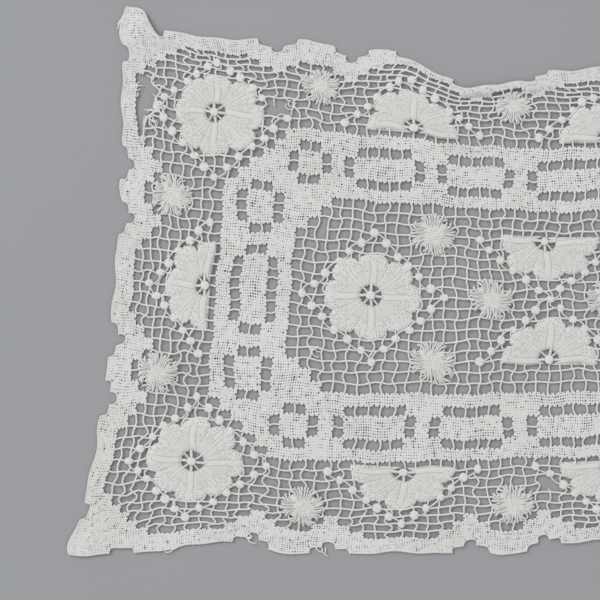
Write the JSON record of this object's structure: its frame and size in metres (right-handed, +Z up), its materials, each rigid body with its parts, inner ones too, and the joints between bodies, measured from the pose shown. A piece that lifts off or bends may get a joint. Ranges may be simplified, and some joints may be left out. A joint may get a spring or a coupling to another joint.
{
  "type": "lace table runner",
  "caption": "Filet lace table runner: knotted square net with a darned band, a stepped darned hem and raised needle-woven flowers and rosettes, lying flat to dress a table.",
  "frame": {"origin": "middle of the runner's box, on the underside that rests on the table", "axes": "+X along the runner's length, towards the end without tears; +Y across its width, towards the far edge; +Z up"},
  "size_m": [0.9068, 0.308, 0.0041],
  "materials": {
    "lace": "matt off-white thread, darned and knotted"
  },
  "bodies": {
    "root": {"lace_runner": "lace"}
  },
  "joints": []
}
